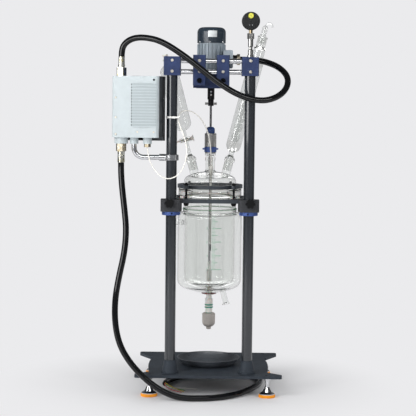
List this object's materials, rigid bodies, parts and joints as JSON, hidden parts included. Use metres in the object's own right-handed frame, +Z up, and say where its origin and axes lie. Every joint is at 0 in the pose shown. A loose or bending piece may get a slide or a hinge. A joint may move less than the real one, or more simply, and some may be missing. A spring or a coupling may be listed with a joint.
{
  "type": "jacketed glass reactor",
  "caption": "Jacketed glass reactor on a two-post stand, with a geared stirrer drive, drain valve, condenser, dropping funnel, vacuum gauge and control box.",
  "frame": {"origin": "on the floor under the middle of the stand's outline, measured without the hoses and cables", "axes": "+Z up; +X to the right seen from the posts' side, which carries the control box on the left; +Y from the posts towards the vessel's far side"},
  "size_m": [0.7646, 0.6811, 1.655],
  "materials": {
    "dark_paint": "matte",
    "grey_paint": "satin",
    "cover_paint": "satin",
    "motor_paint": "satin",
    "cowl_paint": "gloss",
    "blue_anodised": "satin",
    "black_cast": "rough",
    "black_plastic": "matte",
    "chrome": "polished",
    "steel": "brushed",
    "brass": "machined",
    "glass": "clear",
    "clear": "clear",
    "white_plastic": "matte",
    "grey_plastic": "matte",
    "orange_rubber": "matte",
    "seal_rubber": "matte",
    "yellow_plastic": "gloss",
    "blue_plastic": "satin",
    "red_plastic": "gloss",
    "hose_rubber": "satin",
    "white_cable": "gloss",
    "wire": "gloss"
  },
  "bodies": {
    "stand": {"base_plate": "dark_paint", "foot_pads": "orange_rubber", "foot_cups": "chrome", "posts": "dark_paint", "post_sockets": "dark_paint", "clamp_left": "black_cast", "clamp_right": "black_cast", "collars": "blue_anodised", "support_plate": "dark_paint", "flange_seats": "white_plastic", "clamp_ring": "dark_paint", "tie_rods": "black_plastic", "jacketed_vessel": "glass", "lid": "glass", "probe": "white_plastic", "dropping_funnel": "glass", "stoppers": "white_plastic", "condenser": "glass", "gas_adapter": "glass", "seal_body": "steel", "seal_ring": "blue_anodised", "seal_cap": "blue_plastic", "drain_body": "white_plastic", "drain_rings": "seal_rubber", "head_rods": "chrome", "corner_blocks": "blue_anodised", "motor_blocks": "blue_anodised", "screws": "chrome", "motor_bracket": "blue_anodised", "motor_body": "motor_paint", "motor_cowl": "cowl_paint", "terminal_box": "motor_paint", "motor_gland": "black_plastic", "brass_nuts": "brass", "gauge_valve": "steel", "gauge_case": "black_plastic", "relief_plug": "yellow_plastic", "clear_panes": "clear", "box_housing": "grey_paint", "box_cover": "cover_paint", "hose_sleeves": "chrome", "carrying_tube": "chrome", "tube_clamp": "chrome", "upper_hose": "hose_rubber", "lower_hose": "hose_rubber", "sensor_cable": "white_cable", "wire_ends": "wire"},
    "tray": {"drip_tray": "black_plastic"},
    "stirrer": {"coupling": "black_plastic", "thumb_screws": "steel", "stirrer_shaft": "steel", "paddle": "white_plastic"},
    "drain_hand": {"drain_knob": "grey_plastic"},
    "drain_plunger": {"drain_stem": "white_plastic"},
    "cock_key": {"funnel_key": "white_plastic"},
    "needle": {"gauge_needle": "black_plastic"},
    "speed_control": {"speed_knob": "black_plastic"},
    "switch_lever": {"power_switch": "red_plastic"},
    "left_star": {"star_knob_left": "black_plastic"},
    "right_star": {"star_knob_right": "black_plastic"}
  },
  "joints": [
    {"name": "tray_slide", "type": "slide", "parent": "stand", "child": "tray", "axis": [0, 1, 0], "range_m": [0, 0.12]},
    {"name": "stir", "type": "hinge", "parent": "stand", "child": "stirrer", "pos_m": [0.052, 0, 1.2], "axis": [0, 0, 1], "continuous": true},
    {"name": "drain_turn", "type": "hinge", "parent": "stand", "child": "drain_hand", "pos_m": [0.052, 0, 0.3], "axis": [0, 0, 1], "range_deg": [0, 1080]},
    {"name": "drain_lift", "type": "slide", "parent": "stand", "child": "drain_plunger", "axis": [0, 0, 1], "range_m": [-0.012, 0]},
    {"name": "cock_turn", "type": "hinge", "parent": "stand", "child": "cock_key", "pos_m": [-0.05656, 0, 1.10071], "axis": [0.9681, 0, 0.2504], "continuous": true},
    {"name": "needle_turn", "type": "hinge", "parent": "stand", "child": "needle", "pos_m": [0.219, -0.22, 1.616], "axis": [0, -1, 0], "range_deg": [0, 270]},
    {"name": "speed_turn", "type": "hinge", "parent": "stand", "child": "speed_control", "pos_m": [-0.28935, -0.13485, 1.21], "axis": [-0.225, -0.9744, 0], "range_deg": [0, 300]},
    {"name": "switch_turn", "type": "hinge", "parent": "stand", "child": "switch_lever", "pos_m": [-0.20166, -0.1551, 1.21], "axis": [-0.225, -0.9744, 0], "range_deg": [0, 90]},
    {"name": "left_star_turn", "type": "hinge", "parent": "stand", "child": "left_star", "pos_m": [-0.121, -0.266, 0.83644], "axis": [0, -1, 0], "continuous": true},
    {"name": "right_star_turn", "type": "hinge", "parent": "stand", "child": "right_star", "pos_m": [0.225, -0.266, 0.83644], "axis": [0, -1, 0], "continuous": true}
  ],
  "couplings": [
    {"joint": "drain_turn", "follows": "drain_lift", "rad_per_m": -1570}
  ]
}
